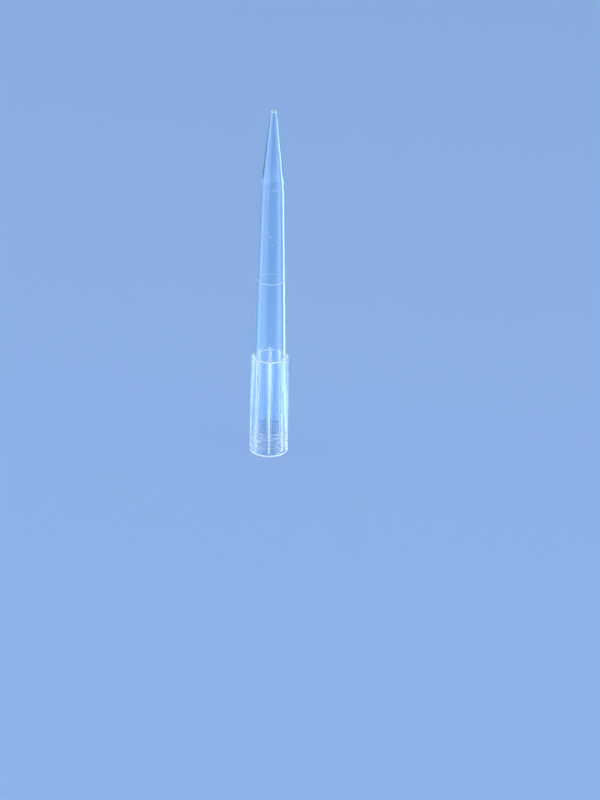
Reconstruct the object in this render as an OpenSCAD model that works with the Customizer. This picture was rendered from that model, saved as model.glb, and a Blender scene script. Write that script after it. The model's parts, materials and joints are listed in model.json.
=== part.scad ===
// Disposable 1000 microlitre pipette tip, one injection moulding in clear polypropylene.
// It stands on its mouth: the mouth lies in the plane z = 0 and the fine orifice is at the top.

/* [Overall] */
// Length from the mouth to the orifice
tip_length = 83; // [69:0.5:100]
// Diameter across the crests of the seal rings, which grip the pipette's nozzle
socket_d = 7.1; // [5.9:0.05:8.6]
// Length of the ribbed collar, from the mouth to the shoulder
collar_length = 23.65; // [19.5:0.05:28.4]
// Wall of the lumen, from the shoulder up to the 100 microlitre ring
wall = 0.54; // [0.45:0.01:0.65]

/* [Mouth and seal rings] */
// Number of seal rings inside the mouth
seal_count = 5; // [3:1:6]
// Spacing of the seal rings
seal_pitch = 1; // [0.8:0.05:1.2]
// Height of the first seal ring's middle above the mouth
seal_start = 1.1; // [0.9:0.05:1.4]
// Height of each flat crest, measured along the tip
seal_crest = 0.3; // [0.2:0.05:0.4]
// Depth of the grooves between the crests
seal_depth = 0.12; // [0.08:0.01:0.15]
// Wall outside the grooves, just above the rim
socket_wall = 0.6; // [0.5:0.01:0.75]
// How far the rim stands out from the wall above it
rim_lip = 0.13; // [0.09:0.01:0.16]
// Height of the rim
rim_height = 0.7; // [0.5:0.05:0.9]
// Flat width of the rim, which the tip stands on
rim_land = 0.42; // [0.34:0.01:0.5]

/* [Collar ribs] */
// Number of ribs round the collar
rib_count = 8; // [6:1:10]
// How far a rib stands out at the shoulder
rib_height = 0.59; // [0.46:0.01:0.71]
// Thickness of a rib at the shoulder
rib_top_w = 0.62; // [0.5:0.01:0.75]
// Thickness of a rib at the rim
rib_foot_w = 0.3; // [0.24:0.01:0.36]
// How much nearer the axis the ribs' edges are at the shoulder than at the rim
collar_draft = 0.15; // [0.12:0.01:0.2]
// Height of the slanted rib ends above the shoulder
rib_end = 0.9; // [0.7:0.05:1.1]

/* [Body and graduations] */
// Distance of the 500 microlitre ring from the orifice
ring_500 = 40.2; // [33.5:0.1:44]
// Distance of the 100 microlitre ring from the orifice
ring_100 = 17.8; // [14.8:0.1:21.4]
// Taper of the body's side below the 500 microlitre ring, in degrees
lower_taper = 1.17; // [0.93:0.01:1.41]
// Taper of the body's side above the 500 microlitre ring, in degrees
upper_taper = 1.39; // [1.11:0.01:1.67]
// Step in the outside at the shoulder and at the 500 microlitre ring
ring_step = 0.07; // [0.05:0.01:0.09]
// Step in the outside at the 100 microlitre ring
ring_100_step = 0.03; // [0.02:0.01:0.04]
// Diameter of the orifice
orifice_d = 0.8; // [0.66:0.01:0.96]
// Wall round the orifice
orifice_wall = 0.32; // [0.26:0.01:0.38]

/* [Hidden] */
$fn = 128;

// Past an open end, so that a cut leaves no skin
clear = 1;
// Gap between a rib's edge and the rim's edge, so that each keeps its own outline
rib_inset = 0.04;
// Axial run of each flank of a seal ring
seal_flank = (seal_pitch - seal_crest) / 4;

// Heights
shoulder_z = collar_length;
ring_500_z = tip_length - ring_500;
ring_100_z = tip_length - ring_100;
seal_top = seal_start + (seal_count - 1) * seal_pitch + seal_crest / 2;

// Radii of the outside, worked out from the socket
socket_r = socket_d / 2;
groove_r = socket_r + seal_depth;
collar_foot_r = groove_r + socket_wall;
rim_r = collar_foot_r + rim_lip;
rib_foot_r = rim_r - rib_inset;
rib_top_r = rib_foot_r - collar_draft;
body_r = rib_top_r - rib_height;
shoulder_r = body_r + ring_step;
ring_500_r = body_r - (ring_500_z - shoulder_z) * tan(lower_taper);
ring_100_r = ring_500_r - ring_step - (ring_100_z - ring_500_z) * tan(upper_taper);
orifice_r = orifice_d / 2;

// Outline of the outside, from the mouth to the orifice, as [radius, height]
outside = [
    [0, 0],
    [rim_r, 0],
    [rim_r, rim_height],
    [collar_foot_r, rim_height + rim_lip],
    [shoulder_r, shoulder_z],
    [body_r, shoulder_z],
    [ring_500_r, ring_500_z],
    [ring_500_r - ring_step, ring_500_z],
    [ring_100_r, ring_100_z],
    [ring_100_r - ring_100_step, ring_100_z],
    [orifice_r + orifice_wall, tip_length],
    [0, tip_length]
];

// One seal ring and the groove below it, for the ring whose middle is at height z
function seal_ring(z) = [
    [groove_r, z - seal_crest / 2 - seal_flank],
    [socket_r, z - seal_crest / 2],
    [socket_r, z + seal_crest / 2],
    [groove_r, z + seal_crest / 2 + seal_flank]
];

// All seal rings; the last crest runs straight into the lumen
seal_rings = [
    for (i = [0 : seal_count - 1], p = seal_ring(seal_start + i * seal_pitch))
        if (p[1] <= seal_top) p
];

// Outline of the inside, from below the mouth to past the orifice
lumen_slope = (ring_100_r - wall - orifice_r) / ring_100;
inside = concat(
    [
        [0, -clear],
        [rim_r - rim_land, -clear],
        [rim_r - rim_land, 0]
    ],
    seal_rings,
    [
        [body_r - wall, shoulder_z],
        [ring_500_r - wall, ring_500_z],
        [ring_100_r - wall, ring_100_z],
        [orifice_r - clear * lumen_slope, tip_length + clear],
        [0, tip_length + clear]
    ]
);

// The moulding's outside without its ribs: rim, collar, body and fine cone
module outer_form() {
    rotate_extrude()
        polygon(outside);
}

// Everything that is open: lead-in, socket with its seal rings, and lumen
module lumen() {
    rotate_extrude()
        polygon(inside);
}

// One rib along +X, thick at the shoulder and thin at the rim, with a slanted upper end
module rib() {
    side = [
        [socket_r, 0],
        [rib_foot_r, 0],
        [rib_top_r, shoulder_z],
        [body_r - wall / 2, shoulder_z + rib_end * (1 + wall / 2 / rib_height)],
        [body_r - wall, shoulder_z + rib_end * (1 + wall / 2 / rib_height)]
    ];
    front = [
        [-rib_foot_w / 2, 0],
        [rib_foot_w / 2, 0],
        [rib_top_w / 2, shoulder_z],
        [rib_top_w / 2, shoulder_z + 2 * rib_end],
        [-rib_top_w / 2, shoulder_z + 2 * rib_end],
        [-rib_top_w / 2, shoulder_z]
    ];
    intersection() {
        rotate([90, 0, 0])
            linear_extrude(height = 2 * rib_top_w, center = true)
                polygon(side);
        rotate([90, 0, 90])
            linear_extrude(height = 2 * rim_r)
                polygon(front);
    }
}

// The whole moulding
module pipette_tip() {
    color([0.8, 0.88, 0.97, 0.5])
        difference() {
            union() {
                outer_form();
                for (i = [0 : rib_count - 1])
                    rotate([0, 0, i * 360 / rib_count])
                        rib();
            }
            lumen();
        }
}

pipette_tip();
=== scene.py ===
"""A disposable 1000 microlitre pipette tip in clear polypropylene, mouth down on a pale floor."""
import json
import math

import bmesh
import bpy
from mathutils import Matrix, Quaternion, Vector


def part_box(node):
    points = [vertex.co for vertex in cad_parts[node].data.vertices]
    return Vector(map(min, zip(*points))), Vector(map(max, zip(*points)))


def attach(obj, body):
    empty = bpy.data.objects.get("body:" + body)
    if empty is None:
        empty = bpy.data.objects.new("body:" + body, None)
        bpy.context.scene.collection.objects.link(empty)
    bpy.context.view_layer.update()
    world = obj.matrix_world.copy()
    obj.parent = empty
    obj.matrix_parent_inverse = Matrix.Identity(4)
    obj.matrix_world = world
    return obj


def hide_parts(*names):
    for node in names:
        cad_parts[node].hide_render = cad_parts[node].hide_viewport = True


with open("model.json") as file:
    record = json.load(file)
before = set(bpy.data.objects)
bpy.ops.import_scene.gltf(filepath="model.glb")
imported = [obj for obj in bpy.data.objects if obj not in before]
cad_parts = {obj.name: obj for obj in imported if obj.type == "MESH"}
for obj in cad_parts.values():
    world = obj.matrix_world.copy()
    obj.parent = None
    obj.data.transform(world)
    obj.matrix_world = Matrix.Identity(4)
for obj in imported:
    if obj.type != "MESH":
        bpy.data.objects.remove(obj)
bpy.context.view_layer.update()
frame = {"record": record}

MM = 0.001
NODE = "pipette_tip"

# ---------------------------------------------------------------- sizes, in millimetres

low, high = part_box(NODE)
socket = next(m for m in frame["record"]["mounts"] if m["name"] == "nozzle_socket")

TIP_LENGTH = (high.z - low.z) / MM
RIM_R = high.x / MM
SOCKET_R = socket["dims"]["r_mm"]
SEALS_LOW = socket["pos_m"][2] / MM - socket["dims"]["length_mm"] / 2
SEALS_HIGH = socket["pos_m"][2] / MM + socket["dims"]["length_mm"] / 2

# Mouth: flat rim, lip above it and the seal rings inside
RIM_LAND = 0.42
RIM_LAND_ROUND = 0.05
RIM_HEIGHT = 0.7
RIM_EDGE_ROUND = 0.1
RIM_LIP = 0.13
LIP_ROUND = 0.04
LIP_ROOT_ROUND = 0.06
SEAL_COUNT = 5
SEAL_CREST = 0.3
SEAL_DEPTH = 0.12
SEAL_FLANK = 0.175
SEAL_ROUND = 0.1

# Collar and its ribs
COLLAR_LENGTH = 23.65
SHOULDER_BEVEL = 0.03
SHOULDER_ROUND = 0.05
ABOVE_SHOULDER = 0.16
RIB_COUNT = 8
RIB_INSET = 0.04
RIB_DRAFT = 0.15
RIB_HEIGHT = 0.59
RIB_END = 0.9
RIB_TOP_W = 0.5
RIB_FOOT_W = 0.46
RIB_EDGE_ROUND = 0.06
RIB_EDGE_SHARE = 0.6
RIB_ROOT_ROUND = 0.44
RIB_ROOT_MARGIN = 0.08
RIB_SIDE_DRAFT = 0.05

# Body, graduations and orifice
WALL = 0.54
RING_500_Z = TIP_LENGTH - 40.2
RING_100_Z = TIP_LENGTH - 17.8
LOWER_TAPER = 1.17
UPPER_TAPER = 1.39
RING_STEP = 0.07
RING_ROUND = 0.03
RING_100_STEP = 0.03
RING_100_ROUND = 0.012
ORIFICE_R = 0.4
ORIFICE_WALL = 0.32
ORIFICE_ROUND = 0.03
ORIFICE_LAND_INSET = 0.035

# Specks in the front wall, as [azimuth in degrees, height, radius]
SPECKS = [[-171, 54.2, 0.13], [-158, 55.0, 0.08], [-170, 55.5, 0.07], [177, 52.3, 0.09]]

# The materials, in the order of the piece's slots
CLEAR = 0
# Slots 1 to 4 are white or milky plastic on edges, painted highlights for the bright lines light makes in
# the clear walls
PAINTED_WHITE_HIGHLIGHT = 1
SHOULDER_HIGHLIGHT = 2
CREST_HIGHLIGHT_AND_SPECKS = 3
RING_HIGHLIGHT = 4

# How high the rim's painted white highlight goes, how many columns of a rib's crest carry the painted
# milky highlight on each side of its middle, and the height below which that crest highlight is one column
# narrower
RIM_HIGHLIGHT_HEIGHT = 0.38
CREST_HIGHLIGHT_COLUMNS = 3
CREST_HIGHLIGHT_NARROWS = 16

# Radii that follow from them
COLLAR_FOOT_R = RIM_R - RIM_LIP
RIB_FOOT_R = RIM_R - RIB_INSET
RIB_TOP_R = RIB_FOOT_R - RIB_DRAFT
BODY_R = RIB_TOP_R - RIB_HEIGHT
SHOULDER_R = BODY_R + RING_STEP
RING_500_R = BODY_R - (RING_500_Z - COLLAR_LENGTH) * math.tan(math.radians(LOWER_TAPER))
ABOVE_500_R = RING_500_R - RING_STEP
RING_100_R = ABOVE_500_R - (RING_100_Z - RING_500_Z) * math.tan(math.radians(UPPER_TAPER))

# How finely the moulding is divided
SPIN_STEPS = 384
ARC_STEPS = 4
RIB_COLUMNS = 12
RIB_EDGE_TURNS = (30, 60, 90)
RIB_ROOT_TURNS = (0, 18, 36, 54, 72, 90)
COLLAR_ROW = 1.5
RIB_END_ROWS = 8

# Rows close to a corner and just above the ribs keep the shading of the long walls straight
GUARD = 0.06
GUARD_ROOM = 4
ABOVE_RIBS = (0.06, 0.15, 0.4, 1)

# Less than this counts as nothing
SLIVER = 0.001


# ---------------------------------------------------------------- the moulding's outline

def outside_corners():
    """The outside from the mouth up, as [radius, height, size of the round corner, material]."""
    rib_end_z = COLLAR_LENGTH + RIB_END
    rib_end_r = BODY_R - RIB_END * math.tan(math.radians(LOWER_TAPER))
    corners = [
        # The rim's land and lower face are opaque white, a painted highlight for the bright line light
        # makes along the rim
        [RIM_R - RIM_LAND, 0, RIM_LAND_ROUND, PAINTED_WHITE_HIGHLIGHT],
        [RIM_R - RIM_LAND / 2, 0, 0, CLEAR],
        [RIM_R, 0, RIM_EDGE_ROUND, PAINTED_WHITE_HIGHLIGHT],
        [RIM_R, RIM_HIGHLIGHT_HEIGHT, 0, PAINTED_WHITE_HIGHLIGHT],
        [RIM_R, RIM_HEIGHT, LIP_ROUND, CLEAR],
        [COLLAR_FOOT_R, RIM_HEIGHT + RIM_LIP, LIP_ROOT_ROUND, CLEAR],
    ]
    rows = math.floor(COLLAR_LENGTH / COLLAR_ROW)
    for row in range(1, rows):
        share = row / rows
        height = (RIM_HEIGHT + RIM_LIP) * (1 - share) + COLLAR_LENGTH * share
        corners.append([COLLAR_FOOT_R * (1 - share) + SHOULDER_R * share, height, 0, CLEAR])
    corners += [
        # The shoulder step is milky, a painted highlight for the bright ring light makes there
        [SHOULDER_R, COLLAR_LENGTH - SHOULDER_BEVEL, SHOULDER_ROUND, SHOULDER_HIGHLIGHT],
        [BODY_R, COLLAR_LENGTH + SHOULDER_BEVEL, SHOULDER_ROUND, SHOULDER_HIGHLIGHT],
    ]
    for row in range(RIB_END_ROWS + 1):
        share = row / RIB_END_ROWS
        corners.append([
            BODY_R * (1 - share) + rib_end_r * share,
            (COLLAR_LENGTH + ABOVE_SHOULDER) * (1 - share) + rib_end_z * share,
            0,
            CLEAR,
        ])
    for above in ABOVE_RIBS:
        corners.append([
            rib_end_r - above * math.tan(math.radians(LOWER_TAPER)),
            rib_end_z + above,
            0,
            CLEAR,
        ])
    corners += [
        # The ring steps are slightly milky, a faint painted highlight
        [RING_500_R, RING_500_Z, RING_ROUND, RING_HIGHLIGHT],
        [ABOVE_500_R, RING_500_Z, RING_ROUND, RING_HIGHLIGHT],
        [(ABOVE_500_R + RING_100_R) / 2, (RING_500_Z + RING_100_Z) / 2, 0, CLEAR],
        [RING_100_R, RING_100_Z, RING_100_ROUND, CLEAR],
        [RING_100_R - RING_100_STEP, RING_100_Z, RING_100_ROUND, RING_HIGHLIGHT],
        [ORIFICE_R + ORIFICE_WALL, TIP_LENGTH, ORIFICE_ROUND, CLEAR],
        # The orifice's land is opaque white, a painted highlight
        [ORIFICE_R + ORIFICE_WALL - ORIFICE_LAND_INSET, TIP_LENGTH, 0, PAINTED_WHITE_HIGHLIGHT],
    ]
    return corners


def inside_corners():
    """The inside from the orifice down to the mouth, in the same form."""
    corners = [
        # The orifice's land is opaque white, a painted highlight
        [ORIFICE_R + ORIFICE_LAND_INSET, TIP_LENGTH, 0, PAINTED_WHITE_HIGHLIGHT],
        [ORIFICE_R, TIP_LENGTH, ORIFICE_ROUND, CLEAR],
        [RING_100_R - WALL, RING_100_Z, 0, CLEAR],
        [RING_500_R - WALL, RING_500_Z, 0, CLEAR],
        [BODY_R - WALL, COLLAR_LENGTH, 0, CLEAR],
    ]
    pitch = (SEALS_HIGH - SEALS_LOW - SEAL_CREST) / (SEAL_COUNT - 1)
    for ring in reversed(range(SEAL_COUNT)):
        foot = SEALS_LOW + ring * pitch
        corners.append([SOCKET_R + SEAL_DEPTH, foot + SEAL_CREST + SEAL_FLANK, SEAL_ROUND, CLEAR])
        corners.append([SOCKET_R, foot + SEAL_CREST, SEAL_ROUND, CLEAR])
        corners.append([SOCKET_R, foot, SEAL_ROUND, CLEAR])
        corners.append([SOCKET_R + SEAL_DEPTH, foot - SEAL_FLANK, SEAL_ROUND, CLEAR])
    return corners


def rounded(corners):
    """A closed outline through the corners, each turned into an arc that starts its size away from it.

    Each point is a vector of radius and height, with the number of its material.
    """
    outline = []
    for index, (radius, height, size, look) in enumerate(corners):
        here = Vector((radius, height))
        if not size:
            outline.append((here, look))
            continue
        before = Vector(corners[index - 1][:2]) - here
        after = Vector(corners[(index + 1) % len(corners)][:2]) - here
        start = here + before.normalized() * size
        end = here + after.normalized() * size
        if before.length > GUARD_ROOM * (size + GUARD):
            outline.append((start + before.normalized() * GUARD, look))
        for step in range(ARC_STEPS + 1):
            t = step / ARC_STEPS
            outline.append((start * (1 - t) ** 2 + here * 2 * t * (1 - t) + end * t ** 2, look))
        if after.length > GUARD_ROOM * (size + GUARD):
            outline.append((end + after.normalized() * GUARD, look))
    return outline


# ---------------------------------------------------------------- ribs

def rib_edge(height):
    """Distance from the axis to a rib's edge: a long drafted line, a round turn and a slanted end."""
    line = RIB_FOOT_R - RIB_DRAFT * height / COLLAR_LENGTH
    slant = RIB_TOP_R - RIB_HEIGHT * (height - COLLAR_LENGTH) / RIB_END
    turn = max(RIB_EDGE_ROUND - abs(line - slant), 0)
    return min(line, slant) - turn ** 2 / (4 * RIB_EDGE_ROUND)


def rib_section(height, core_r):
    """Half of a rib's section, from its middle outwards, as [offset, distance from the axis]."""
    top = rib_edge(height)
    share = min(height / COLLAR_LENGTH, 1)
    half = (RIB_FOOT_W * (1 - share) + RIB_TOP_W * share) / 2
    edge_w = min(RIB_EDGE_ROUND, half * RIB_EDGE_SHARE)
    edge_h = min(RIB_EDGE_ROUND, (top - core_r) / 2)
    root_h = min(RIB_ROOT_ROUND, (top - core_r) / 2)
    flat = half - edge_w - RIB_SIDE_DRAFT
    section = [[0, top], [flat / 2, top], [flat, top]]
    for degrees in RIB_EDGE_TURNS:
        turn = math.radians(degrees)
        section.append([flat + edge_w * math.sin(turn), top - edge_h * (1 - math.cos(turn))])
    foot = half + RIB_SIDE_DRAFT
    for degrees in RIB_ROOT_TURNS:
        turn = math.radians(degrees)
        offset = foot + RIB_ROOT_ROUND * (1 - math.cos(turn))
        core = math.sqrt(core_r ** 2 - offset ** 2)
        section.append([offset, core + root_h * (1 - math.sin(turn))])
    offset = foot + RIB_ROOT_ROUND + RIB_ROOT_MARGIN
    section.append([offset, math.sqrt(core_r ** 2 - offset ** 2)])
    return section


def raise_ribs(mesh, outer_rows):
    """Moves the collar's outer skin out into the ribs, a bundle of columns for each, with painted milky
    crest highlights.
    """
    row_of = mesh.verts.layers.int["row"]
    look_of = mesh.verts.layers.int["look"]
    columns = SPIN_STEPS // RIB_COUNT
    sections = {}
    for vertex in mesh.verts:
        row = vertex[row_of]
        core_r = math.hypot(vertex.co.x, vertex.co.y)
        height = vertex.co.z
        if row >= outer_rows or height < RIM_HEIGHT or rib_edge(height) <= core_r + SLIVER:
            continue
        column = round(math.atan2(vertex.co.y, vertex.co.x) / math.tau * SPIN_STEPS)
        rib = round(column / columns)
        side = column - rib * columns
        if abs(side) > RIB_COLUMNS:
            continue
        if row not in sections:
            sections[row] = rib_section(height, core_r)
        offset, distance = sections[row][abs(side)]
        turn = rib * math.tau / RIB_COUNT
        outwards = Vector((math.cos(turn), math.sin(turn), 0))
        sideways = Vector((-math.sin(turn), math.cos(turn), 0))
        vertex.co = outwards * distance + sideways * math.copysign(offset, side) + Vector((0, 0, height))
        # The middle columns of each crest take the milky material, a painted highlight for the ribs'
        # bright lines
        crest = CREST_HIGHLIGHT_COLUMNS if height > CREST_HIGHLIGHT_NARROWS else CREST_HIGHLIGHT_COLUMNS - 1
        if abs(side) <= crest and height < COLLAR_LENGTH:
            vertex[look_of] = CREST_HIGHLIGHT_AND_SPECKS


def sow_specks(mesh):
    """Puts a few milky specks inside the wall above the 500 microlitre ring."""
    for azimuth, height, radius in SPECKS:
        taper = (height - RING_500_Z) * math.tan(math.radians(UPPER_TAPER))
        place = direction(azimuth, 0) * (ABOVE_500_R - taper - WALL / 2)
        speck = bmesh.ops.create_icosphere(mesh, subdivisions=2, radius=radius)
        bmesh.ops.translate(mesh, vec=place + Vector((0, 0, height)), verts=speck["verts"])
        for vertex in speck["verts"]:
            for face in vertex.link_faces:
                # The specks share the milky material of the painted crest highlights
                face.material_index = CREST_HIGHLIGHT_AND_SPECKS


# ---------------------------------------------------------------- pieces

def finish_piece(mesh, name, materials):
    """Puts a mesh that was made in millimetres into the scene as one smooth piece, in metres."""
    bmesh.ops.recalc_face_normals(mesh, faces=mesh.faces)
    bmesh.ops.scale(mesh, vec=(MM, MM, MM), verts=mesh.verts)
    data = bpy.data.meshes.new(name)
    mesh.to_mesh(data)
    mesh.free()
    data.shade_smooth()
    for material in materials:
        data.materials.append(material)
    piece = bpy.data.objects.new(name, data)
    bpy.context.scene.collection.objects.link(piece)
    return piece


def mould_tip(materials):
    """The whole moulding: its outline spun round the axis, and the ribs raised from its outer skin."""
    outer = outside_corners()
    outline = rounded(outer + inside_corners())
    top = next(i for i, (point, look) in enumerate(outline) if point.y >= TIP_LENGTH - SLIVER)
    mesh = bmesh.new()
    row_of = mesh.verts.layers.int.new("row")
    look_of = mesh.verts.layers.int.new("look")
    ring = []
    for row, (point, look) in enumerate(outline):
        vertex = mesh.verts.new((point.x, 0, point.y))
        vertex[row_of] = row
        vertex[look_of] = look
        ring.append(vertex)
    edges = [mesh.edges.new((ring[i - 1], ring[i])) for i in range(len(ring))]
    bmesh.ops.spin(
        mesh,
        geom=ring + edges,
        cent=(0, 0, 0),
        axis=(0, 0, 1),
        dvec=(0, 0, 0),
        angle=math.tau,
        steps=SPIN_STEPS,
        use_merge=True,
    )
    raise_ribs(mesh, top)
    for face in mesh.faces:
        looks = {vertex[look_of] for vertex in face.verts}
        if len(looks) == 1:
            face.material_index = looks.pop()
    sow_specks(mesh)
    return finish_piece(mesh, "clear_tip", materials)


# ---------------------------------------------------------------- materials

# Polypropylene's refractive index, the size of the mould's flow in millimetres and its roughest spots
REFRACTION = 1.49
FLOW_SIZE = 4
HIGHEST_ROUGHNESS = 0.02


def linear(value):
    """An sRGB hex colour as linear red, green, blue and alpha."""
    channels = []
    for start in (1, 3, 5):
        c = int(value[start:start + 2], 16) / 255
        channels.append(c / 12.92 if c <= 0.04045 else ((c + 0.055) / 1.055) ** 2.4)
    return (*channels, 1.0)


def add_node(tree, kind, inputs=None, links=None, **settings):
    """Adds a node, sets its settings and sockets, and links sockets of earlier nodes into it."""
    node = tree.nodes.new(kind)
    for name, value in settings.items():
        setattr(node, name, value)
    for name, value in (inputs or {}).items():
        node.inputs[name].default_value = value
    for name, socket_from in (links or {}).items():
        tree.links.new(socket_from, node.inputs[name])
    return node


def new_material(name):
    """An empty material with nodes, and its tree."""
    material = bpy.data.materials.new(name)
    material.use_nodes = True
    material.node_tree.nodes.clear()
    return material, material.node_tree


def clear_polypropylene(name, colour, clearness):
    """Polypropylene, injection moulded in a polished mould: glossy, with very faint flow.

    The walls are water-clear. Edges with less clearness and a milky white are painted highlights for
    bright lines.
    """
    material, tree = new_material(name)
    place = add_node(tree, "ShaderNodeTexCoord")
    flow = add_node(
        tree, "ShaderNodeTexNoise",
        inputs={"Scale": 1 / (FLOW_SIZE * MM), "Detail": 2.0, "Roughness": 0.5},
        links={"Vector": place.outputs["Object"]},
    )
    gloss = add_node(
        tree, "ShaderNodeMapRange",
        inputs={"From Min": 0.3, "From Max": 0.7, "To Min": 0.0, "To Max": HIGHEST_ROUGHNESS},
        links={"Value": flow.outputs["Fac"]},
    )
    plastic = add_node(
        tree, "ShaderNodeBsdfPrincipled",
        inputs={
            "Base Color": linear(colour),
            "IOR": REFRACTION,
            "Transmission Weight": clearness,
        },
        links={"Roughness": gloss.outputs["Result"]},
    )
    clear = add_node(tree, "ShaderNodeBsdfTransparent", inputs={"Color": linear("#FAFCFF")})
    path = add_node(tree, "ShaderNodeLightPath")
    for_floor = add_node(
        tree, "ShaderNodeMixShader",
        links={0: path.outputs["Is Diffuse Ray"], 1: plastic.outputs["BSDF"], 2: clear.outputs["BSDF"]},
    )
    for_lamps = add_node(
        tree, "ShaderNodeMixShader",
        links={0: path.outputs["Is Shadow Ray"], 1: for_floor.outputs[0], 2: clear.outputs["BSDF"]},
    )
    add_node(tree, "ShaderNodeOutputMaterial", links={"Surface": for_lamps.outputs[0]})
    return material


def floor_paint():
    """Matt pale blue floor. Only what the clear plastic bends or mirrors sees a satin sheen on it."""
    material, tree = new_material("pale blue satin board")
    matt = add_node(tree, "ShaderNodeBsdfDiffuse", inputs={"Color": linear(FLOOR_COLOUR)})
    sheen = add_node(
        tree, "ShaderNodeBsdfGlossy",
        inputs={"Color": linear(SHEEN_COLOUR), "Roughness": SHEEN_ROUGHNESS},
    )
    path = add_node(tree, "ShaderNodeLightPath")
    seen = add_node(
        tree, "ShaderNodeMath", operation="MAXIMUM",
        links={0: path.outputs["Is Glossy Ray"], 1: path.outputs["Is Transmission Ray"]},
    )
    share = add_node(
        tree, "ShaderNodeMath", operation="MULTIPLY", inputs={1: FLOOR_SHEEN}, links={0: seen.outputs[0]}
    )
    mix = add_node(
        tree, "ShaderNodeMixShader",
        links={0: share.outputs[0], 1: matt.outputs[0], 2: sheen.outputs[0]},
    )
    add_node(tree, "ShaderNodeOutputMaterial", links={"Surface": mix.outputs[0]})
    return material


# ---------------------------------------------------------------- studio

# The floor: its size in metres, and its gap under the tip in millimetres
FLOOR_COLOUR = "#8DB1E6"
FLOOR_SHEEN = 0.5
SHEEN_COLOUR = "#D0F2FF"
SHEEN_ROUGHNESS = 0.05
FLOOR_SIZE = 2.4
FLOOR_GAP = 0.02

# The room: its light, and how bright its walls are where the plastic bends or mirrors them, as shares
# of the floor's colour. The heights are sines of the elevation: plain low down, brighter from
# WALL_FROM, and dark above CEILING_TO.
ROOM_LIGHT = 0.06
WALL_FROM = 0.42
WALL_TO = 0.435
BELOW_WALL_LIGHT = 1.0
WALL_LIGHT = 1.35
CEILING_FROM = 0.48
CEILING_TO = 0.56
CEILING_LIGHT = 0.15

# The lamps' distance in metres
LAMP_DISTANCE = 2.5

# The camera: angles in degrees, lens in millimetres
CAMERA_AZIMUTH = -1.0
CAMERA_ELEVATION = 28.09
CAMERA_DISTANCE = 8.805 * TIP_LENGTH * MM
CAMERA_LENS = 143.4
CAMERA_TURN = -0.55
CAMERA_TILT = 0.875
CAMERA_ROLL = 0.9


def lay_floor():
    """A wide flat floor under the tip."""
    mesh = bmesh.new()
    bmesh.ops.create_grid(mesh, x_segments=1, y_segments=1, size=FLOOR_SIZE / 2)
    bmesh.ops.translate(mesh, vec=(0, 0, -FLOOR_GAP * MM), verts=mesh.verts)
    data = bpy.data.meshes.new("floor")
    mesh.to_mesh(data)
    mesh.free()
    data.materials.append(floor_paint())
    floor = bpy.data.objects.new("floor", data)
    bpy.context.scene.collection.objects.link(floor)


def direction(azimuth, elevation):
    """The direction from the tip towards an azimuth and an elevation: 0 is behind it, 90 to its right."""
    a, e = math.radians(azimuth), math.radians(elevation)
    return Vector((math.sin(a) * math.cos(e), math.cos(a) * math.cos(e), math.sin(e)))


def hang_lamp(name, azimuth, elevation, width, height, brightness, lights_matt=True, mirrored=True):
    """A soft panel that faces the tip. It spans width by height degrees as the tip sees it.

    One that doesn't light matt surfaces, or isn't mirrored, leaves those rays out.
    """
    data = bpy.data.lights.new(name, "AREA")
    data.shape = "RECTANGLE"
    data.size = 2 * LAMP_DISTANCE * math.tan(math.radians(width / 2))
    data.size_y = 2 * LAMP_DISTANCE * math.tan(math.radians(height / 2))
    data.energy = brightness * math.pi * data.size * data.size_y
    towards = direction(azimuth, elevation)
    lamp = bpy.data.objects.new(name, data)
    lamp.location = towards * LAMP_DISTANCE
    lamp.visible_camera = False
    lamp.visible_diffuse = lights_matt
    lamp.visible_glossy = mirrored
    lamp.visible_transmission = mirrored
    lamp.rotation_euler = towards.to_track_quat("Z", "Y").to_euler()
    bpy.context.scene.collection.objects.link(lamp)


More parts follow.
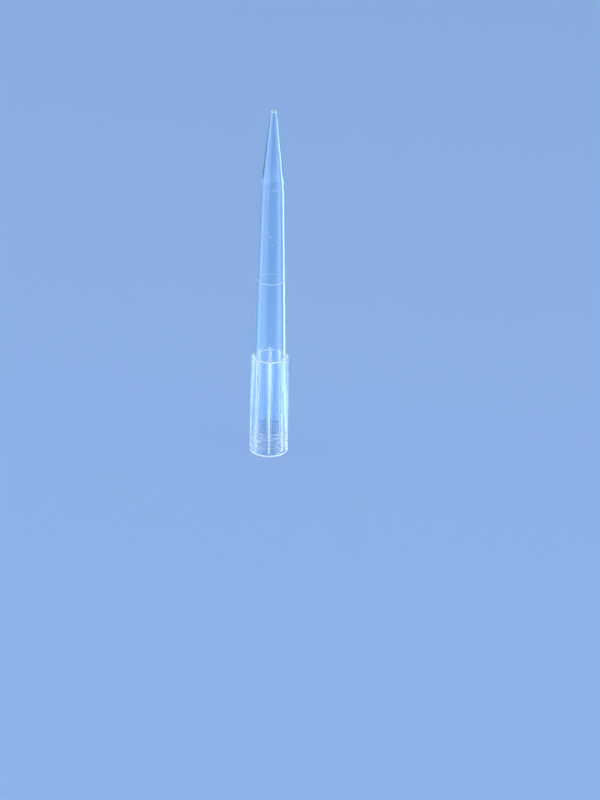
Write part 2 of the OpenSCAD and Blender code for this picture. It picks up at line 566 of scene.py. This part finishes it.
def light_room():
    """A dim even room, four soft lamps round the tip and two low ones that light only matt surfaces."""
    world = bpy.data.worlds.new("room")
    world.use_nodes = True
    tree = world.node_tree
    tree.nodes.clear()
    path = add_node(tree, "ShaderNodeLightPath")
    bent = add_node(
        tree, "ShaderNodeMath", operation="MAXIMUM",
        links={0: path.outputs["Is Glossy Ray"], 1: path.outputs["Is Transmission Ray"]},
    )
    way = add_node(tree, "ShaderNodeTexCoord")
    up = add_node(tree, "ShaderNodeSeparateXYZ", links={0: way.outputs["Generated"]})
    wall = add_node(
        tree, "ShaderNodeMapRange",
        inputs={
            "From Min": WALL_FROM,
            "From Max": WALL_TO,
            "To Min": BELOW_WALL_LIGHT,
            "To Max": WALL_LIGHT,
        },
        links={"Value": up.outputs["Z"]},
    )
    ceiling = add_node(
        tree, "ShaderNodeMapRange",
        inputs={
            "From Min": CEILING_FROM,
            "From Max": CEILING_TO,
            "To Min": 1.0,
            "To Max": CEILING_LIGHT,
        },
        links={"Value": up.outputs["Z"]},
    )
    brightness = add_node(
        tree, "ShaderNodeMath", operation="MULTIPLY",
        links={0: wall.outputs["Result"], 1: ceiling.outputs["Result"]},
    )
    room = add_node(tree, "ShaderNodeBackground", inputs={"Color": (1, 1, 1, 1), "Strength": ROOM_LIGHT})
    sweep = add_node(
        tree, "ShaderNodeBackground",
        inputs={"Color": linear(FLOOR_COLOUR)}, links={"Strength": brightness.outputs[0]},
    )
    plain = add_node(tree, "ShaderNodeBackground", inputs={"Color": linear(FLOOR_COLOUR), "Strength": 1.0})
    bent_mix = add_node(
        tree, "ShaderNodeMixShader",
        links={0: bent.outputs[0], 1: room.outputs[0], 2: sweep.outputs[0]},
    )
    mix = add_node(
        tree, "ShaderNodeMixShader",
        links={0: path.outputs["Is Camera Ray"], 1: bent_mix.outputs[0], 2: plain.outputs[0]},
    )
    add_node(tree, "ShaderNodeOutputWorld", links={"Surface": mix.outputs[0]})
    bpy.context.scene.world = world
    side = {"elevation": 38, "height": 68}
    fill = {"elevation": 17, "width": 60, "height": 26, "brightness": 3.2, "mirrored": False}
    hang_lamp("left lamp", azimuth=-82.5, width=42, brightness=2.45, **side)
    hang_lamp("right lamp", azimuth=110, width=39, brightness=2.4, **side)
    hang_lamp("rear lamp", 42, 27, width=20, height=46, brightness=2.4, lights_matt=False)
    hang_lamp("front left lamp", -128, 28, width=46, height=48, brightness=1.0, lights_matt=False)
    hang_lamp("left fill", azimuth=-130, **fill)
    hang_lamp("right fill", azimuth=130, **fill)


def stand_camera():
    """The camera looks down at the mouth, then turns, tilts and rolls a little."""
    data = bpy.data.cameras.new("camera")
    data.lens = CAMERA_LENS
    data.clip_start = 0.01
    data.clip_end = 100.0
    camera = bpy.data.objects.new("camera", data)
    back = direction(180 - CAMERA_AZIMUTH, CAMERA_ELEVATION)
    camera.location = back * CAMERA_DISTANCE
    camera.rotation_mode = "QUATERNION"
    camera.rotation_quaternion = (
        (-back).to_track_quat("-Z", "Y")
        @ Quaternion((0, 1, 0), math.radians(CAMERA_TURN))
        @ Quaternion((1, 0, 0), math.radians(CAMERA_TILT))
        @ Quaternion((0, 0, 1), math.radians(CAMERA_ROLL))
    )
    bpy.context.scene.collection.objects.link(camera)
    bpy.context.scene.camera = camera


# ---------------------------------------------------------------- the scene

stand_camera()
lay_floor()
light_room()

tip = mould_tip([
    clear_polypropylene("clear polypropylene, polished mould", "#F6FAFF", 1.0),
    # Opaque white on the rim and orifice: a painted highlight
    clear_polypropylene("polypropylene edge, painted white highlight", "#F4FBFF", 0.0),
    # Milky shoulder step: a painted highlight
    clear_polypropylene("polypropylene shoulder edge, painted milky highlight", "#E6F7FF", 0.1),
    # Milky rib crests: a painted highlight; the specks use this material too
    clear_polypropylene("polypropylene rib crest, milky", "#E6F7FF", 0.15),
    # Slightly milky ring edges: a faint painted highlight
    clear_polypropylene("polypropylene ring edge, faint painted highlight", "#E6F7FF", 0.6),
])
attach(tip, "root")
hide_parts(NODE)

scene = bpy.context.scene
scene.view_settings.view_transform = "Standard"
scene.cycles.max_bounces = 32
scene.cycles.transmission_bounces = 32
scene.cycles.glossy_bounces = 16
scene.cycles.transparent_max_bounces = 32
scene.cycles.caustics_reflective = False
scene.cycles.caustics_refractive = False
